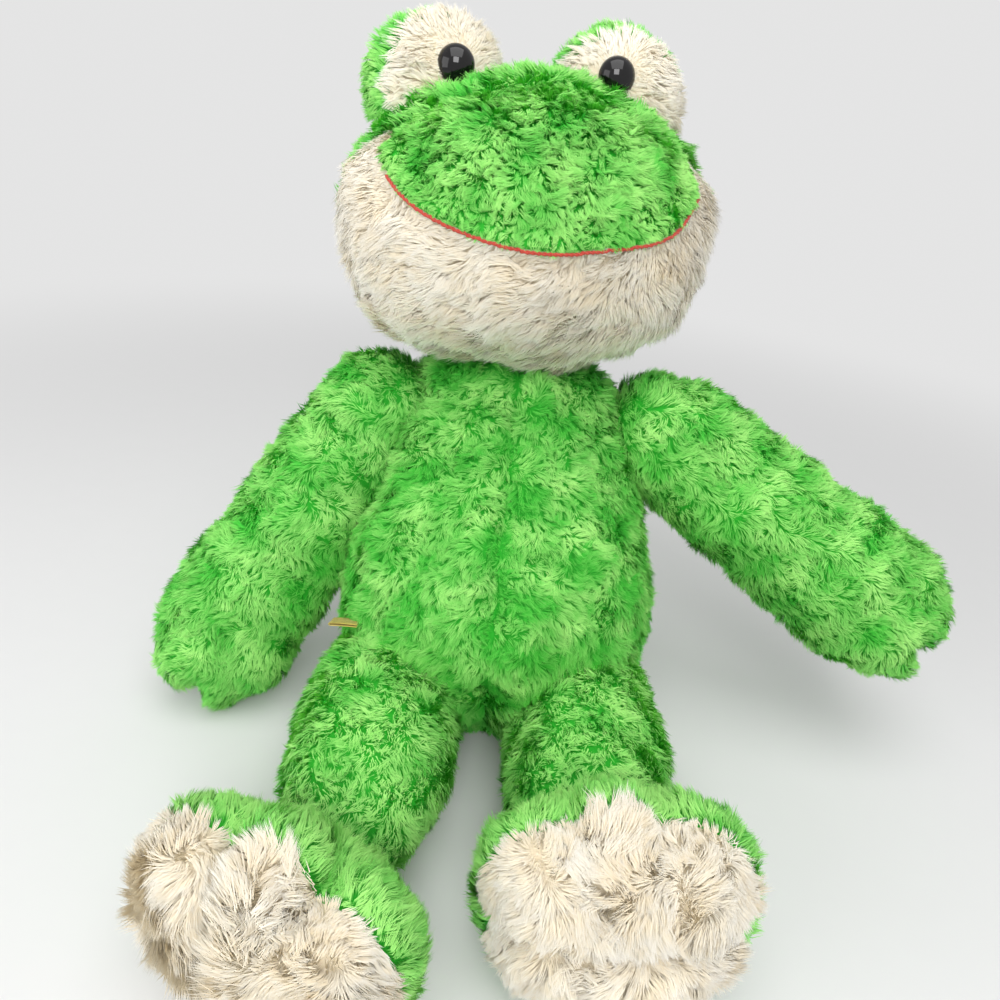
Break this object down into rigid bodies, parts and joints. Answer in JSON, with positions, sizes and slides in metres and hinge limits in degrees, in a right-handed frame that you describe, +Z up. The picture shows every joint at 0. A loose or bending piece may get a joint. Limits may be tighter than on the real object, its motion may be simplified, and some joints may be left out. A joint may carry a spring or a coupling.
{
  "type": "plush frog",
  "caption": "Sitting plush frog with a wide seamed mouth, raised eye bulges, jointed soft head, arms, legs and feet, and shaggy cream soles.",
  "frame": {"origin": "under the seat, at the middle of the flat patch that the torso rests on", "axes": "+Z up, the toy faces -Y, its own right side at -X"},
  "size_m": [0.4238, 0.3108, 0.3471],
  "materials": {
    "green_plush": "long wavy pile",
    "cream_plush": "long shaggy pile",
    "fibre_filling": "loose fibre",
    "eye_plastic": "glossy black",
    "washer_plastic": "moulded",
    "pellet_bag": "woven bag",
    "mouth_thread": "twisted thread",
    "seam_thread": "twisted thread",
    "label_cloth": "woven, plain"
  },
  "bodies": {
    "torso": {"torso_front_right": "green_plush", "torso_front_left": "green_plush", "torso_back": "green_plush", "torso_filling": "fibre_filling", "seat_pellet_bag": "pellet_bag", "side_label": "label_cloth", "back_closing_stitch": "seam_thread"},
    "neck": {"neck_filling": "fibre_filling"},
    "head": {"head_muzzle": "green_plush", "head_jaw": "cream_plush", "head_back": "green_plush", "head_filling": "fibre_filling", "mouth_line": "mouth_thread", "eye_bulge_front_right": "cream_plush", "eye_bulge_back_right": "green_plush", "eye_bulge_filling_right": "fibre_filling", "eye_right": "eye_plastic", "eye_washer_right": "washer_plastic", "eye_bulge_front_left": "cream_plush", "eye_bulge_back_left": "green_plush", "eye_bulge_filling_left": "fibre_filling", "eye_left": "eye_plastic", "eye_washer_left": "washer_plastic"},
    "arm_right": {"arm_right": "green_plush", "arm_right_filling": "fibre_filling"},
    "leg_right": {"leg_right": "green_plush", "leg_right_filling": "fibre_filling"},
    "foot_right": {"foot_right_sole": "cream_plush", "foot_right_upper": "green_plush", "foot_right_filling": "fibre_filling"},
    "arm_left": {"arm_left": "green_plush", "arm_left_filling": "fibre_filling"},
    "leg_left": {"leg_left": "green_plush", "leg_left_filling": "fibre_filling"},
    "foot_left": {"foot_left_sole": "cream_plush", "foot_left_upper": "green_plush", "foot_left_filling": "fibre_filling"}
  },
  "joints": [
    {"name": "head_nod", "type": "hinge", "parent": "torso", "child": "neck", "pos_m": [0, 0.04916, 0.20836], "axis": [1, 0, 0], "range_deg": [-12, 5]},
    {"name": "head_turn", "type": "hinge", "parent": "neck", "child": "head", "pos_m": [0, 0.04916, 0.20836], "axis": [0, 0.1392, 0.9903], "range_deg": [-25, 25]},
    {"name": "arm_right_lift", "type": "hinge", "parent": "torso", "child": "arm_right", "pos_m": [-0.064, 0.03193, 0.17419], "axis": [0, 0.9397, -0.342], "range_deg": [0, 75]},
    {"name": "leg_right_swing", "type": "hinge", "parent": "torso", "child": "leg_right", "pos_m": [-0.05, -0.018, 0.037], "axis": [1, 0, 0], "range_deg": [-6, 45]},
    {"name": "foot_right_flex", "type": "hinge", "parent": "leg_right", "child": "foot_right", "pos_m": [-0.05, -0.13, 0.037], "axis": [1, 0, 0], "range_deg": [-10, 12]},
    {"name": "arm_left_lift", "type": "hinge", "parent": "torso", "child": "arm_left", "pos_m": [0.064, 0.03193, 0.17419], "axis": [0, 0.9397, -0.342], "range_deg": [-45, 28]},
    {"name": "leg_left_swing", "type": "hinge", "parent": "torso", "child": "leg_left", "pos_m": [0.05, -0.018, 0.037], "axis": [1, 0, 0], "range_deg": [-6, 45]},
    {"name": "foot_left_flex", "type": "hinge", "parent": "leg_left", "child": "foot_left", "pos_m": [0.05, -0.13, 0.037], "axis": [1, 0, 0], "range_deg": [-10, 12]}
  ]
}
